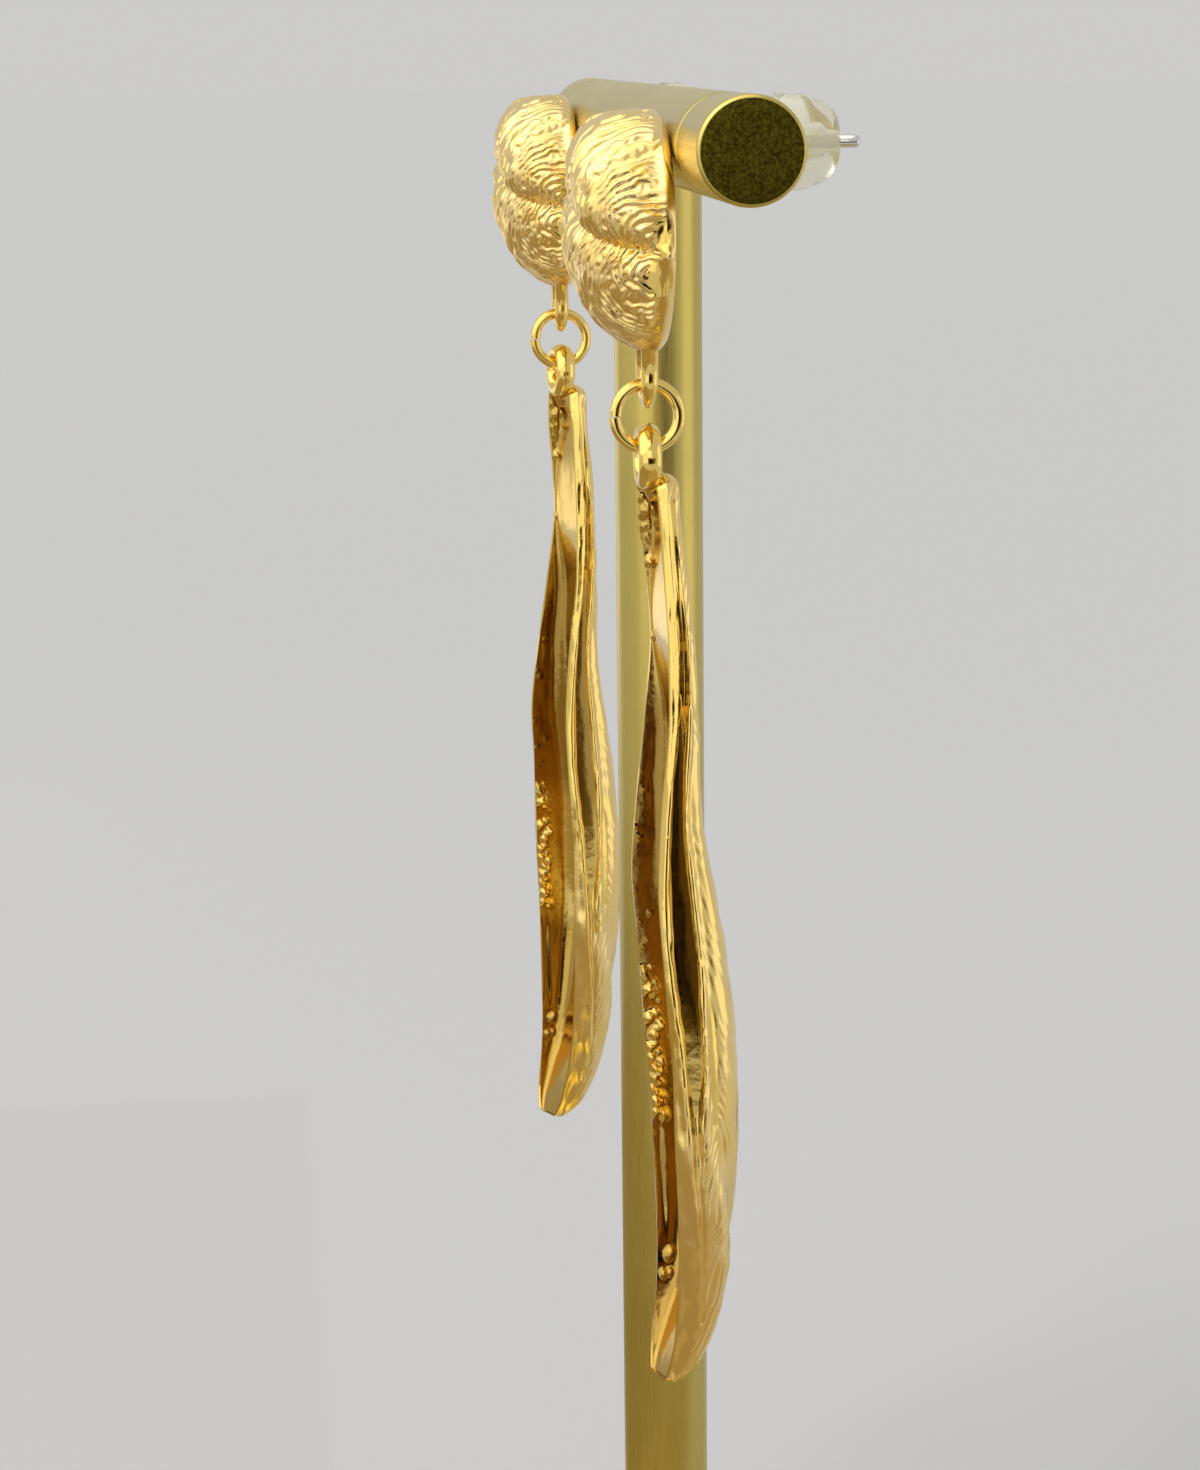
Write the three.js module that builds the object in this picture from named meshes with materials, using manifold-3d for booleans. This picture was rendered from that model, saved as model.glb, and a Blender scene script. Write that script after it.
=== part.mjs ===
// A pair of dangle earrings on a T-bar stand, in millimetres, +Z up.
//
// The origin is the middle of the base's underside. The bar runs along X, the stud
// fronts face -Y, and the ear posts point along +Y through the bar. "right" is the
// +X earring and "left" the -X one. Heights called "down" are measured downwards
// from the bar's axis, because everything on an earring hangs from there.

import * as THREE from 'three';
import { mergeVertices } from 'three/addons/utils/BufferGeometryUtils.js';
import Module from 'manifold-3d';

const wasm = await Module();
wasm.setup();

// ---- Driving dimensions --------------------------------------------------------

// Stand
const BASE_RADIUS = 30;
const BASE_THICKNESS = 5;
const BASE_CHAMFER = 0.6;
const SOCKET_DEPTH = 3;
const BAR_HEIGHT = 126;
const BAR_RADIUS = 3.3;
const BAR_HALF_LENGTH = 44.5;
const CAP_LENGTH = 9.5;
const CAP_JOINT = 0.15;
const CAP_CHAMFER = 0.35;
const JOINT_CHAMFER = 0.12;
const POLE_RADIUS = 3.2;
const POLE_CHAMFER = 0.3;
const SADDLE_HORN = 0.4;
const STAND_GAP = 0.15;
const BASE_SEGMENTS = 48;
const BAR_SEGMENTS = 36;
const POLE_SEGMENTS = 32;
const PIN_SEGMENTS = 16;

// Earring places
const EARRING_X = 28.5;
const HANG_Y = -4.35;

// Stud: a domed button with a flat back and a bottom loop
const STUD_BACK_Y = -3.4;
const STUD_CENTRE_DOWN = 5.45;
const STUD_HALF_WIDTH = 8.2;
const STUD_HALF_HEIGHT = 7.65;
const STUD_DEPTH = 6.2;
const STUD_EDGE_ROUND = 0.5;
const STUD_EDGE_DEPTH = 0.7;
const DOME_POWER_LOW = 1.95;
const DOME_POWER_HIGH = 3.6;
const POWER_RISE = [-0.6, 0.8];
const GROOVE_UP = 1.45;
const GROOVE_FALL = 3.1;
const GROOVE_RUN = 7;
const NOTCH_DEPTH = 0.8;
const NOTCH_WIDTH = 1.1;
const NOTCH_FADE = 2;
const DOME_SEGMENTS = 32;
const DOME_RINGS = 12;
const BACK_RINGS = 2;
const LOOP_WIRE = 0.55;
const LOOP_RADIUS = 1.5;
const LOOP_DOWN = 14.6;
const LOOP_ROOT = 2.4;
const LOOP_BENDS = 8;
const LOOP_STEPS = 18;
const WIRE_SEGMENTS = 5;

// Ear post and clutch
const POST_RADIUS = 0.425;
const POST_TIP_Y = 9.4;
const POST_TIP_CHAMFER = 0.25;
const POST_GAP = 0.05;
const POST_HOLE_RADIUS = 0.65;
const CLUTCH_BORE = 0.5;
const CLUTCH_FRONT_Y = 3.4;
const CLUTCH_LENGTH = 4.55;
const CLUTCH_SEGMENTS = 20;
// The clutch's outside from front to back: [radius, distance behind its front]
const CLUTCH_OUTSIDE = [
  [2.1, 0],
  [2.7, 0.7],
  [3.05, 1.7],
  [3.05, 2.4],
  [2.75, 3.3],
  [2.1, 4.0],
  [1.2, CLUTCH_LENGTH],
];

// Jump ring and drop: each wire rests on the one it hangs from, with a hairline gap
const LINK_GAP = 0.1;
const RING_WIRE = 0.4;
const RING_RADIUS = 2.1;
const RING_SPLIT = 0.035;
const RING_STEPS = 28;
const EYE_WIRE = 0.6;
const EYE_RADIUS = 1.6;
const EYE_SIDES = 10;
const EYE_STEPS = 24;
const LOOP_WIRE_DOWN = LOOP_DOWN + LOOP_RADIUS;
const RING_DOWN = LOOP_WIRE_DOWN - (LOOP_WIRE + RING_WIRE + LINK_GAP) + RING_RADIUS;
const RING_WIRE_DOWN = RING_DOWN + RING_RADIUS;
const EYE_DOWN = RING_WIRE_DOWN - (RING_WIRE + EYE_WIRE + LINK_GAP) + EYE_RADIUS;

// How each drop hangs: turned about the vertical and swung forward, in degrees
const HANGS = [
  { side: 'right', x: EARRING_X, turn: 0, swing: 0 },
  { side: 'left', x: -EARRING_X, turn: 10, swing: -2 },
];

// The drop's sections. far, near and back are the Y places, from the hanging line,
// of the -X rim, the +X rim and the crest of the convex side; half is half the width
// and hollow the depth of the open front. The near rim is bevelled over lip, and a
// channel, channel deep, runs beside it and ends channelEnd from the rim.
const DROP_SECTIONS = [
  { down: 20.9, half: 1.6, far: -0.6, near: 0.6, back: 1.7, hollow: 0.3, lip: 0.45, channel: 0, channelEnd: 1.1 },
  { down: 24, half: 2.1, far: -0.42, near: 0.66, back: 1.85, hollow: 0.9, lip: 0.42, channel: 0.1, channelEnd: 1.05 },
  { down: 28.2, half: 2.5, far: 0.12, near: 0.82, back: 2.5, hollow: 0.3, lip: 0.5, channel: 0.28, channelEnd: 1.2 },
  { down: 32, half: 2.8, far: 0.4, near: 1, back: 2.9, hollow: 0.2, lip: 0.6, channel: 0.5, channelEnd: 1.3 },
  { down: 37, half: 3.1, far: 0, near: 0.98, back: 2.95, hollow: 1.5, lip: 0.46, channel: 0.75, channelEnd: 1.35 },
  { down: 42.5, half: 3.5, far: -0.5, near: 0.42, back: 3.05, hollow: 2.2, lip: 0.4, channel: 0.95, channelEnd: 1.6 },
  { down: 48, half: 4, far: -0.85, near: 0.1, back: 4, hollow: 3, lip: 0.4, channel: 1.1, channelEnd: 2.3 },
  { down: 53, half: 4.5, far: -0.4, near: 0.35, back: 4.85, hollow: 3.6, lip: 0.34, channel: 1.1, channelEnd: 2.5 },
  { down: 59, half: 5, far: 0, near: 0.8, back: 5.4, hollow: 3.8, lip: 0.6, channel: 0.85, channelEnd: 2.1 },
  { down: 65, half: 5.3, far: 0.5, near: 0.95, back: 5.5, hollow: 3.6, lip: 0.85, channel: 0.35, channelEnd: 1.8 },
  { down: 71.5, half: 4.9, far: 0.75, near: 1.2, back: 5.15, hollow: 2.8, lip: 1.25, channel: 0.12, channelEnd: 1.75 },
  { down: 77, half: 3.9, far: 0.65, near: 1.25, back: 4.35, hollow: 1.7, lip: 1.35, channel: 0, channelEnd: 1.75 },
  { down: 81, half: 2.5, far: 0.05, near: 0.95, back: 2.9, hollow: 0.6, lip: 0.95, channel: 0, channelEnd: 1.3 },
  { down: 82.9, half: 1.2, far: -0.15, near: 0.65, back: 1.25, hollow: 0.05, lip: 0.4, channel: 0, channelEnd: 0.9 },
];
const DROP_RIM = 0.55;
const RIM_LEAST = 0.3;
const BEVEL_SHARE = 0.58;
const CHANNEL_SHARPNESS = 1.4;
const DROP_STATIONS = 26;
const OUTER_POINTS = 18;
const INNER_POINTS = 10;
const RIM_CROWDING = 0.0375;
const SECTION_FULLNESS = 0.75;
const HOLLOW_FULLNESS = 0.42;

// ---- Solids --------------------------------------------------------------------

function merged(geometry) {
  const plain = geometry.index ? geometry.toNonIndexed() : geometry.clone();
  plain.deleteAttribute('normal');
  plain.deleteAttribute('uv');
  return mergeVertices(plain, 1e-4);
}

function solid(geometry) {
  const shape = merged(geometry);
  return new wasm.Manifold(new wasm.Mesh({
    numProp: 3,
    vertProperties: new Float32Array(shape.attributes.position.array),
    triVerts: new Uint32Array(shape.index.array),
  }));
}

function geometryOf(manifold) {
  const mesh = manifold.getMesh();
  const geometry = new THREE.BufferGeometry();
  geometry.setAttribute('position', new THREE.BufferAttribute(mesh.vertProperties, 3));
  geometry.setIndex(new THREE.BufferAttribute(mesh.triVerts, 1));
  return geometry;
}

// A round piece turned about the given axis; the profile lists [radius, place along it].
function turned(profile, segments, axis) {
  const points = profile.map(([radius, along]) => new THREE.Vector2(radius, along));
  const geometry = new THREE.LatheGeometry(points, segments);
  if (axis === 'x') geometry.rotateZ(-Math.PI / 2);
  if (axis === 'z') geometry.rotateX(Math.PI / 2);
  return merged(geometry);
}

// A round rod from one place to another along the axis, with chamfers at both ends.
function rod(radius, start, end, chamfers, segments, axis) {
  const [first, last] = chamfers;
  const profile = [
    [0, start],
    [radius - first, start],
    [radius, start + first],
    [radius, end - last],
    [radius - last, end],
    [0, end],
  ];
  return turned(profile, segments, axis);
}

// A wire of round section along a curve, with closed ends.
function wire(curve, radius, steps) {
  const section = new THREE.Shape().absarc(0, 0, radius, 0, 2 * Math.PI, false);
  return new THREE.ExtrudeGeometry(section, { steps, curveSegments: WIRE_SEGMENTS, extrudePath: curve });
}

// Moves every vertex of a geometry to where place(vertex) puts it.
function reshaped(geometry, place) {
  const shape = merged(geometry);
  const position = shape.attributes.position;
  const vertex = new THREE.Vector3();
  for (let i = 0; i < position.count; i += 1) {
    vertex.fromBufferAttribute(position, i);
    place(vertex);
    position.setXYZ(i, vertex.x, vertex.y, vertex.z);
  }
  return shape;
}

function smoothstep(value, low, high) {
  const t = THREE.MathUtils.clamp((value - low) / (high - low), 0, 1);
  return t * t * (3 - 2 * t);
}

// Reads a column of a table of rows sorted by key, on a smooth curve through the rows.
function column(rows, key, name, at) {
  let i = rows.findIndex((row) => row[key] >= at);
  i = THREE.MathUtils.clamp(i < 0 ? rows.length - 1 : i, 1, rows.length - 1);
  const slope = (k) => {
    const before = rows[Math.max(k - 1, 0)];
    const after = rows[Math.min(k + 1, rows.length - 1)];
    return (after[name] - before[name]) / (after[key] - before[key]);
  };
  const [a, b] = [rows[i - 1], rows[i]];
  const span = b[key] - a[key];
  const t = (at - a[key]) / span;
  const start = (1 + 2 * t) * (1 - t) ** 2 * a[name] + t * (1 - t) ** 2 * span * slope(i - 1);
  const end = t * t * (3 - 2 * t) * b[name] + t * t * (t - 1) * span * slope(i);
  return start + end;
}

// ---- Stand ---------------------------------------------------------------------

function baseGeometry() {
  const socket = POLE_RADIUS + STAND_GAP;
  const profile = [
    [0, 0],
    [BASE_RADIUS - BASE_CHAMFER, 0],
    [BASE_RADIUS, BASE_CHAMFER],
    [BASE_RADIUS, BASE_THICKNESS - BASE_CHAMFER],
    [BASE_RADIUS - BASE_CHAMFER, BASE_THICKNESS],
    [socket, BASE_THICKNESS],
    [socket, BASE_THICKNESS - SOCKET_DEPTH],
    [0, BASE_THICKNESS - SOCKET_DEPTH],
  ];
  return turned(profile, BASE_SEGMENTS, 'z');
}

// The pole's top is hollowed to sit round the underside of the bar.
function poleGeometry() {
  const bottom = BASE_THICKNESS - SOCKET_DEPTH + STAND_GAP;
  const chamfers = [POLE_CHAMFER, POLE_CHAMFER];
  const pole = solid(rod(POLE_RADIUS, bottom, BAR_HEIGHT, chamfers, POLE_SEGMENTS, 'z'));
  const reach = 2 * POLE_RADIUS;
  const saddle = rod(BAR_RADIUS + STAND_GAP, -reach, reach, [0, 0], BAR_SEGMENTS, 'x');
  saddle.translate(0, 0, BAR_HEIGHT);
  const above = new THREE.BoxGeometry(2 * reach, 2 * reach, BAR_RADIUS);
  above.translate(0, 0, BAR_HEIGHT + BAR_RADIUS / 2 - SADDLE_HORN);
  return geometryOf(pole.subtract(solid(saddle)).subtract(solid(above)));
}

function barGeometry() {
  const half = BAR_HALF_LENGTH - CAP_LENGTH;
  const chamfers = [JOINT_CHAMFER, JOINT_CHAMFER];
  let bar = solid(rod(BAR_RADIUS, -half, half, chamfers, BAR_SEGMENTS, 'x'));
  const reach = 2 * BAR_RADIUS;
  for (const hang of HANGS) {
    const hole = rod(POST_HOLE_RADIUS, -reach, reach, [0, 0], PIN_SEGMENTS, 'y');
    hole.translate(hang.x, 0, 0);
    bar = bar.subtract(solid(hole));
  }
  return geometryOf(bar);
}

function capGeometry() {
  const inner = BAR_HALF_LENGTH - CAP_LENGTH + CAP_JOINT;
  return rod(BAR_RADIUS, inner, BAR_HALF_LENGTH, [JOINT_CHAMFER, CAP_CHAMFER], BAR_SEGMENTS, 'x');
}

// ---- Stud ----------------------------------------------------------------------

// How far the groove between the stud's two lobes lies above the centre, across the face.
function studGroove(across) {
  return GROOVE_UP - GROOVE_FALL * Math.tanh(across / GROOVE_RUN);
}

// A point of the stud: turn is the direction round the face, ring counts outwards from
// the crest of the dome, and past the dome's last ring it counts inwards over the back.
function studPoint(turn, ring, target) {
  const lift = smoothstep(Math.sin(turn), ...POWER_RISE);
  const fullness = 2 / THREE.MathUtils.lerp(DOME_POWER_LOW, DOME_POWER_HIGH, lift);
  const bend = Math.min(ring / DOME_RINGS, 1) * Math.PI / 2;
  const spread = Math.sin(bend) ** fullness;
  let depth = STUD_DEPTH * Math.max(Math.cos(bend), 0) ** fullness;
  const rounding = STUD_EDGE_ROUND * Math.max(0, 1 - depth / STUD_EDGE_DEPTH) ** 2;
  const shrink = 1 - Math.max(ring - DOME_RINGS, 0) / BACK_RINGS;
  const across = (STUD_HALF_WIDTH * spread - rounding) * shrink * Math.cos(turn);
  const up = (STUD_HALF_HEIGHT * spread - rounding) * shrink * Math.sin(turn);
  const valley = Math.exp(-(((up - studGroove(across)) / NOTCH_WIDTH) ** 2));
  depth -= NOTCH_DEPTH * valley * smoothstep(depth, 0, NOTCH_FADE);
  target.set(across, -Math.max(depth, 0), up);
}

function loopCurve() {
  const points = [new THREE.Vector3(-LOOP_RADIUS, 0, LOOP_ROOT)];
  for (let i = 0; i <= LOOP_BENDS; i += 1) {
    const angle = Math.PI * (1 + i / LOOP_BENDS);
    points.push(new THREE.Vector3(LOOP_RADIUS * Math.cos(angle), 0, LOOP_RADIUS * Math.sin(angle)));
  }
  points.push(new THREE.Vector3(LOOP_RADIUS, 0, LOOP_ROOT));
  return new THREE.CatmullRomCurve3(points);
}

function studGeometry() {
  const rings = DOME_RINGS + BACK_RINGS;
  const dome = reshaped(new THREE.SphereGeometry(1, DOME_SEGMENTS, rings), (vertex) => {
    const ring = Math.acos(THREE.MathUtils.clamp(vertex.y, -1, 1)) / Math.PI * rings;
    const turn = Math.atan2(-vertex.z, vertex.x);
    studPoint(turn, ring, vertex);
  });
  dome.translate(0, STUD_BACK_Y, -STUD_CENTRE_DOWN);
  const loop = wire(loopCurve(), LOOP_WIRE, LOOP_STEPS);
  loop.translate(0, HANG_Y, -LOOP_DOWN);
  return geometryOf(solid(dome).add(solid(loop)));
}

// ---- Post, clutch and jump ring --------------------------------------------------

function postGeometry() {
  const start = STUD_BACK_Y + POST_GAP;
  return rod(POST_RADIUS, start, POST_TIP_Y, [0, POST_TIP_CHAMFER], PIN_SEGMENTS, 'y');
}

function clutchGeometry() {
  const outside = CLUTCH_OUTSIDE.map(([radius, along]) => [radius, CLUTCH_FRONT_Y + along]);
  const front = [CLUTCH_BORE, CLUTCH_FRONT_Y];
  const back = [CLUTCH_BORE, CLUTCH_FRONT_Y + CLUTCH_LENGTH];
  return turned([front, ...outside, back, front], CLUTCH_SEGMENTS, 'y');
}

// The ring lies in the YZ plane, and its split faces the front.
class RingCurve extends THREE.Curve {
  getPoint(t, target = new THREE.Vector3()) {
    const angle = Math.PI + RING_SPLIT + (2 * Math.PI - 2 * RING_SPLIT) * t;
    return target.set(0, RING_RADIUS * Math.cos(angle), RING_RADIUS * Math.sin(angle));
  }
}

function ringGeometry() {
  const ring = wire(new RingCurve(), RING_WIRE, RING_STEPS);
  ring.translate(0, HANG_Y, -RING_DOWN);
  return merged(ring);
}

// ---- Drop ----------------------------------------------------------------------

// The angle of an outer point: 0 at the near rim, pi at the far rim, crowded at both.
function outerAngle(share) {
  return Math.PI * (share - RIM_CROWDING * Math.sin(4 * Math.PI * share));
}

// The angle of an inner point, crowded so that the hollow's steep walls get points too.
function innerAngle(share) {
  const spread = 2 * share - 1;
  const even = 1 - (1 - Math.abs(spread)) ** (1 / HOLLOW_FULLNESS);
  return Math.PI / 2 * (1 + Math.sign(spread) * even);
}

// How far the near side's bevel and channel lie inside the section's plain form.
function nearInset(read, over) {
  const lip = read('lip');
  const bevel = BEVEL_SHARE * lip * THREE.MathUtils.clamp(1 - over / lip, 0, 1);
  const place = THREE.MathUtils.clamp((over - lip) / (read('channelEnd') - lip), 0, 1);
  return bevel + read('channel') * Math.sin(Math.PI * place) ** CHANNEL_SHARPNESS;
}

// A point round a section of the drop: place counts over the convex side from the near
// rim, and on through the hollow from the far rim back to the near one.
function dropPoint(down, place, target) {
  const read = (name) => column(DROP_SECTIONS, 'down', name, down);
  const inside = place > OUTER_POINTS;
  const back = (OUTER_POINTS + INNER_POINTS - place) / INNER_POINTS;
  const angle = inside ? innerAngle(back) : outerAngle(place / OUTER_POINTS);
  const fullness = inside ? HOLLOW_FULLNESS : SECTION_FULLNESS;
  const cosine = Math.cos(angle);
  const bevelled = Math.max(DROP_RIM, BEVEL_SHARE * read('lip') + RIM_LEAST);
  const wall = cosine > 0 ? bevelled : DROP_RIM;
  const half = read('half') - (inside ? wall : 0);
  const x = half * Math.sign(cosine) * Math.abs(cosine) ** fullness;
  const middle = (read('near') + read('far')) / 2;
  const rim = middle + (read('near') - read('far')) / 2 * x / read('half');
  const depth = inside ? read('hollow') : read('back') - middle;
  const over = depth * Math.abs(Math.sin(angle)) ** fullness;
  const inset = !inside && cosine > 0 ? nearInset(read, over) : 0;
  target.set(x - inset, rim + over, -down);
}

function dropGeometry() {
  const first = DROP_SECTIONS[0];
  const last = DROP_SECTIONS[DROP_SECTIONS.length - 1];
  const points = OUTER_POINTS + INNER_POINTS;
  const skin = new THREE.CylinderGeometry(1, 1, 1, points, DROP_STATIONS);
  const leaf = reshaped(skin, (vertex) => {
    const down = THREE.MathUtils.lerp(first.down, last.down, 0.5 - vertex.y);
    const centre = Math.hypot(vertex.x, vertex.z) < 0.5;
    if (centre) {
      const row = vertex.y > 0 ? first : last;
      vertex.set(0, (row.hollow + row.back + (row.far + row.near) / 2) / 2, -down);
      return;
    }
    const turn = Math.atan2(-vertex.z, vertex.x) / (2 * Math.PI);
    dropPoint(down, Math.round((turn < 0 ? turn + 1 : turn) * points) % points, vertex);
  });
  const eye = new THREE.TorusGeometry(EYE_RADIUS, EYE_WIRE, EYE_SIDES, EYE_STEPS);
  eye.rotateX(Math.PI / 2);
  eye.translate(0, 0, -EYE_DOWN);
  return geometryOf(solid(leaf).add(solid(eye)));
}

// ---- Assembly --------------------------------------------------------------------

const FINISHES = {
  standGold: { color: 0xc8b25f, roughness: 0.42, metalness: 1 },
  satinGold: { color: 0xebc378, roughness: 0.32, metalness: 1 },
  polishedGold: { color: 0xf0c45a, roughness: 0.12, metalness: 1 },
  postSilver: { color: 0xc9c9c6, roughness: 0.2, metalness: 1 },
  clearSilicone: { color: 0xf3f1e4, roughness: 0.25, metalness: 0, transparent: true, opacity: 0.5 },
};

function piece(name, geometry, finish) {
  const mesh = new THREE.Mesh(geometry, new THREE.MeshStandardMaterial(FINISHES[finish]));
  mesh.name = name;
  return mesh;
}

// What hangs on the bar: a group whose origin lies on the bar's axis.
function earring({ side, x, turn, swing }) {
  const group = new THREE.Group();
  group.position.set(x, 0, BAR_HEIGHT);
  group.add(piece(`${side}_stud`, studGeometry(), 'satinGold'));
  group.add(piece(`${side}_ear_post`, postGeometry(), 'postSilver'));
  group.add(piece(`${side}_clutch`, clutchGeometry(), 'clearSilicone'));
  group.add(piece(`${side}_jump_ring`, ringGeometry(), 'polishedGold'));

  const drop = piece(`${side}_drop`, dropGeometry(), 'polishedGold');
  drop.geometry.translate(0, 0, RING_WIRE_DOWN);
  drop.position.set(0, HANG_Y, -RING_WIRE_DOWN);
  drop.rotation.order = 'XZY';
  drop.rotation.x = THREE.MathUtils.degToRad(swing);
  drop.rotation.z = THREE.MathUtils.degToRad(turn);
  group.add(drop);
  return group;
}

function stand() {
  const group = new THREE.Group();
  group.add(piece('stand_base', baseGeometry(), 'standGold'));
  group.add(piece('stand_pole', poleGeometry(), 'standGold'));
  const bar = piece('stand_bar', barGeometry(), 'standGold');
  bar.position.z = BAR_HEIGHT;
  group.add(bar);
  for (const [side, turn] of [['right', 0], ['left', Math.PI]]) {
    const cap = piece(`stand_cap_${side}`, capGeometry(), 'standGold');
    cap.position.z = BAR_HEIGHT;
    cap.rotation.z = turn;
    group.add(cap);
  }
  return group;
}

const assembly = new THREE.Group();
assembly.add(stand());
for (const hang of HANGS) {
  assembly.add(earring(hang));
}

export default assembly;
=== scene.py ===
"""A pair of gold dangle earrings on a satin gold T-bar stand.

Lengths are in millimetres until a mesh is made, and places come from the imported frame.
"down" is the depth below the bar's axis, "front" is -Y and "near" is the +X side.
"""

import math

import bmesh
import bpy
import numpy as np
from mathutils import Matrix, Vector


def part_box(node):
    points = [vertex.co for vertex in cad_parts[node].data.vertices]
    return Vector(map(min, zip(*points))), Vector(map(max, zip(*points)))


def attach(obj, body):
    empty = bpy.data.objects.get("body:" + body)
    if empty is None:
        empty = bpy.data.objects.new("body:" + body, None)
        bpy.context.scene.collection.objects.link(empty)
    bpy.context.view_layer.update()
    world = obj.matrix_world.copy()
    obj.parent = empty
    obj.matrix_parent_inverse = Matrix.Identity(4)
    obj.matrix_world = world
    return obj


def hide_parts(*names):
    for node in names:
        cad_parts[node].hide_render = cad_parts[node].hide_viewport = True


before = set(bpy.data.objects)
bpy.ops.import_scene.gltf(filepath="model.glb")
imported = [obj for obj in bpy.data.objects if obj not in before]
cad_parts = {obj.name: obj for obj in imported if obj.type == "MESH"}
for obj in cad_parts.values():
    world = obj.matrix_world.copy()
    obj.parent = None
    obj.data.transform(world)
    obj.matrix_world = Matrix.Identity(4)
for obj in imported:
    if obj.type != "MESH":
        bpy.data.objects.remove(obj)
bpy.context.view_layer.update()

MM = 0.001
TAU = 2 * math.pi


def box_mm(node):
    """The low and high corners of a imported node, in millimetres."""
    low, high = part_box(node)
    return np.array(low) / MM, np.array(high) / MM


# ---- Places read from the frame ---------------------------------------------------

BAR_LOW, BAR_HIGH = box_mm("stand_bar")
BAR_RADIUS = (BAR_HIGH[2] - BAR_LOW[2]) / 2
BAR_AXIS = (BAR_HIGH[2] + BAR_LOW[2]) / 2
SIDES = {"right": {"turn": 0.0, "swing": 0.0}, "left": {"turn": 10.0, "swing": -2.0}}

# ---- Camera ---------------------------------------------------------------------

CAMERA_PLACE = (237.9, -30.1, BAR_AXIS + 6.5)
CAMERA_AZIMUTH = 83.87
CAMERA_PITCH = 11.91
CAMERA_ROLL = -0.63
CAMERA_LENS = 80.8


def make_camera():
    azimuth, pitch, roll = (math.radians(v) for v in (CAMERA_AZIMUTH, CAMERA_PITCH, CAMERA_ROLL))
    back = Vector((math.sin(azimuth) * math.cos(pitch), -math.cos(azimuth) * math.cos(pitch),
                   math.sin(pitch)))
    level = Vector((math.cos(azimuth), math.sin(azimuth), 0))
    up = back.cross(level)
    right = math.cos(roll) * level + math.sin(roll) * up
    up = -math.sin(roll) * level + math.cos(roll) * up
    data = bpy.data.cameras.new("camera")
    data.sensor_width = 36
    data.lens = CAMERA_LENS
    data.clip_start = 0.005
    data.clip_end = 50
    camera = bpy.data.objects.new("camera", data)
    facing = Matrix((right, up, back)).transposed().to_4x4()
    camera.matrix_world = Matrix.Translation(Vector(CAMERA_PLACE) * MM) @ facing
    bpy.context.scene.collection.objects.link(camera)
    bpy.context.scene.camera = camera


# ---- Smooth noise and curves in numpy --------------------------------------------


def hashed(cell, seed):
    """A fixed pseudo-random number from -1 to 1 for each lattice cell."""
    value = cell[..., 0] * 374761393 + cell[..., 1] * 668265263 + cell[..., 2] * 2147483629
    value = (value + seed * 974634777) & 0xFFFFFFFF
    value = ((value ^ (value >> 13)) * 1274126177) & 0xFFFFFFFF
    return ((value ^ (value >> 16)) & 0xFFFF) / 32767.5 - 1


NOISE_TURN = np.array([[0.36, 0.48, -0.8], [-0.8, 0.6, 0.0], [0.48, 0.64, 0.6]])


def noise(points, size, seed):
    """Smooth noise from -1 to 1 over points, with bumps about size across."""
    scaled = (points / size) @ NOISE_TURN + seed * 17.3
    cell = np.floor(scaled).astype(np.int64)
    part = scaled - cell
    part = part ** 3 * (part * (part * 6 - 15) + 10)
    total = 0
    for corner in np.ndindex(2, 2, 2):
        offset = np.array(corner)
        weight = np.prod(np.where(offset == 1, part, 1 - part), axis=-1)
        total = total + weight * hashed(cell + offset, seed)
    return total


def smoothstep(value, low, high):
    t = np.clip((value - low) / (high - low), 0, 1)
    return t * t * (3 - 2 * t)


def read_table(rows, key, name, at):
    """A column of a table of rows, on a smooth curve through the rows."""
    keys = np.array([row[key] for row in rows], float)
    values = np.array([row[name] for row in rows], float)
    slopes = np.empty_like(values)
    slopes[1:-1] = (values[2:] - values[:-2]) / (keys[2:] - keys[:-2])
    slopes[0] = (values[1] - values[0]) / (keys[1] - keys[0])
    slopes[-1] = (values[-1] - values[-2]) / (keys[-1] - keys[-2])
    i = np.clip(np.searchsorted(keys, at), 1, len(keys) - 1)
    span = keys[i] - keys[i - 1]
    t = (at - keys[i - 1]) / span
    start = (1 + 2 * t) * (1 - t) ** 2 * values[i - 1] + t * (1 - t) ** 2 * span * slopes[i - 1]
    end = t * t * (3 - 2 * t) * values[i] + t * t * (t - 1) * span * slopes[i]
    return start + end


def grid_normals(points, wrap=False):
    """Unit normals of a grid of points, pointing along (row step) x (column step)."""
    rows = np.gradient(points, axis=0)
    if wrap:
        columns = (np.roll(points, -1, axis=1) - np.roll(points, 1, axis=1)) / 2
    else:
        columns = np.gradient(points, axis=1)
    normal = np.cross(rows, columns)
    return normal / np.maximum(np.linalg.norm(normal, axis=-1, keepdims=True), 1e-9)


# ---- Meshes ----------------------------------------------------------------------


def grid_faces(rows, columns, wrap=False, first=0):
    """Quads over a grid of points, row by row."""
    r = np.arange(rows - 1)[:, None]
    c = np.arange(columns if wrap else columns - 1)[None, :]
    after = (c + 1) % columns
    corners = [r * columns + c, r * columns + after, (r + 1) * columns + after, (r + 1) * columns + c]
    return (np.stack(corners, axis=-1).reshape(-1, 4) + first).tolist()


def fan(loop, centre):
    """Triangles from a closed loop of points to a centre point."""
    return [[loop[i], loop[(i + 1) % len(loop)], centre] for i in range(len(loop))]


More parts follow.
